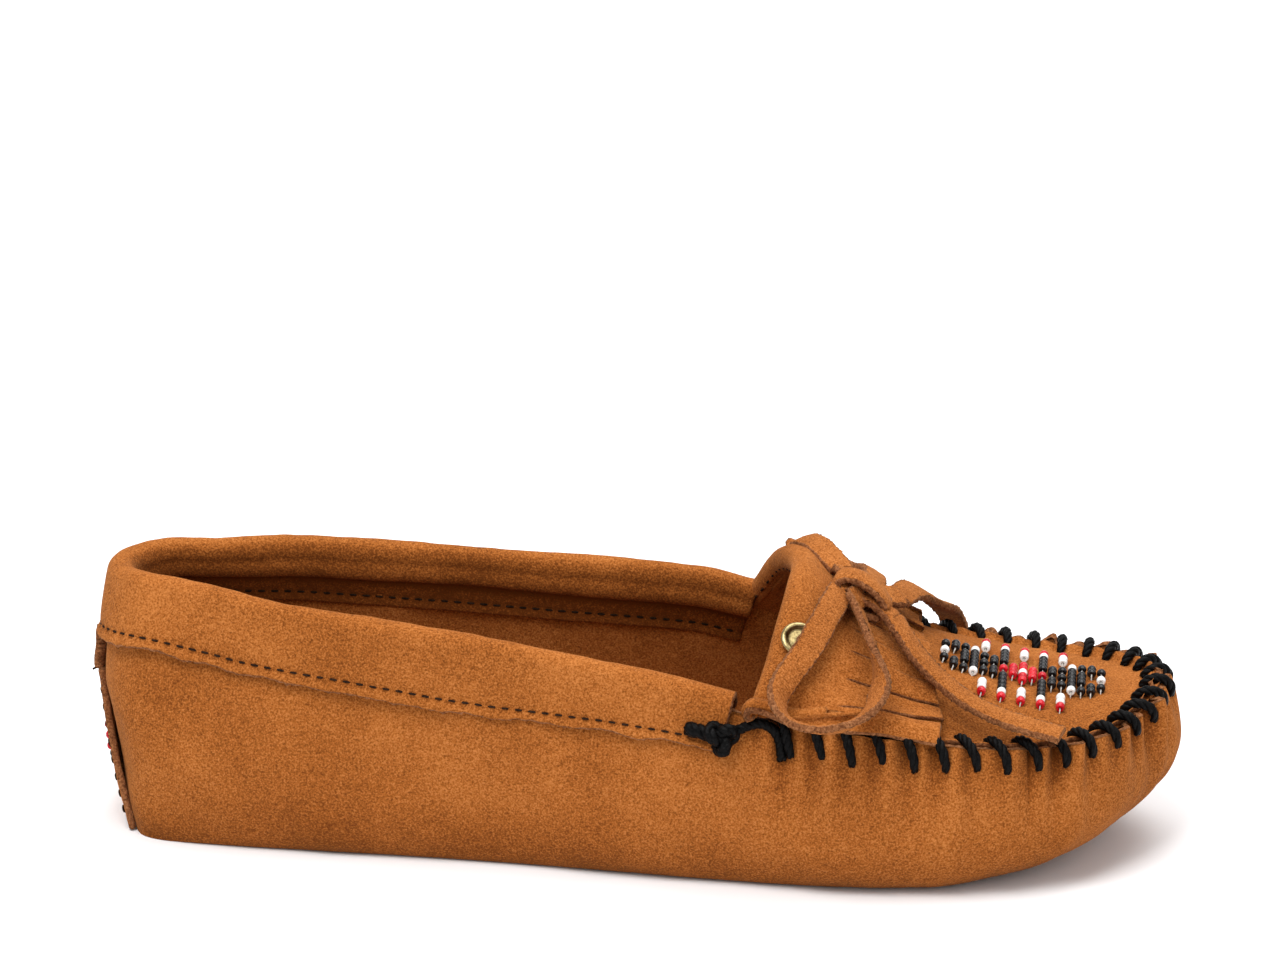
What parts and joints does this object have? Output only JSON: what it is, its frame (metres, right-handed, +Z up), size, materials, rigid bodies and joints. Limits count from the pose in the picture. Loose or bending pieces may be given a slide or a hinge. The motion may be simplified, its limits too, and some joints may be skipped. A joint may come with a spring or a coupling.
{
  "type": "moccasin",
  "caption": "Soft-sole suede moccasin, right foot, with a whip-laced toe plug, beaded vamp, fringed lifting flap, brass stud, laced rolled cuff, bow and heel tab.",
  "frame": {"origin": "on the ground under the middle of the shoe: centre of the footprint's box, at the sole's flat underside", "axes": "+X from heel to toe, -Y to the outer (lateral) side of the right foot, +Z up"},
  "size_m": [0.2529, 0.0956, 0.068],
  "materials": {
    "suede": "napped cognac suede",
    "lace": "cut suede lace, rough edges",
    "sock": "brushed tan lining",
    "foam": "soft cellular foam",
    "waxed_thread": "braided, waxed",
    "sewing_thread": "twisted, matte",
    "brass": "aged, satin",
    "bead_black": "opaque glossy seed bead",
    "bead_red": "opaque glossy seed bead",
    "bead_white": "opaque glossy seed bead"
  },
  "bodies": {
    "shoe": {"bottom_and_sides": "suede", "toe_plug": "suede", "topline_cuff": "suede", "throat_casing": "suede", "heel_tab": "suede", "back_seam_welt": "suede", "insole_pad": "foam", "insole_cover": "sock", "lace_in_cuff": "lace", "toe_lacing": "waxed_thread", "near_lacing_knot": "waxed_thread", "far_lacing_knot": "waxed_thread", "cuff_stitching": "sewing_thread", "casing_stitching": "sewing_thread", "heel_stitching": "sewing_thread", "toe_beads_black": "bead_black", "toe_beads_red": "bead_red", "toe_beads_white": "bead_white", "heel_beads_black": "bead_black", "heel_beads_red": "bead_red", "heel_beads_white": "bead_white"},
    "kiltie": {"fringed_flap": "suede", "stud_cap": "brass", "stud_washer": "brass", "lace_knot": "lace"},
    "near_loop": {"near_bow_loop": "lace"},
    "far_loop": {"far_bow_loop": "lace"},
    "near_tail": {"near_lace_tail": "lace"},
    "far_tail": {"far_lace_tail": "lace"}
  },
  "joints": [
    {"name": "flap_lift", "type": "hinge", "parent": "shoe", "child": "kiltie", "pos_m": [0.0366, 0.0015, 0.067], "axis": [0, -1, 0], "range_deg": [0, 25]},
    {"name": "near_loop_lift", "type": "hinge", "parent": "kiltie", "child": "near_loop", "pos_m": [0.0506, -0.0087, 0.0615], "axis": [-1, 0, 0], "range_deg": [0, 40]},
    {"name": "far_loop_lift", "type": "hinge", "parent": "kiltie", "child": "far_loop", "pos_m": [0.0506, 0.0031, 0.0613], "axis": [1, 0, 0], "range_deg": [0, 25]},
    {"name": "near_tail_lift", "type": "hinge", "parent": "kiltie", "child": "near_tail", "pos_m": [0.0596, -0.008, 0.056], "axis": [-0.5, -0.866, 0], "range_deg": [0, 45]},
    {"name": "far_tail_lift", "type": "hinge", "parent": "kiltie", "child": "far_tail", "pos_m": [0.0606, 0.002, 0.057], "axis": [0.9507, -0.3102, 0], "range_deg": [0, 45]}
  ]
}
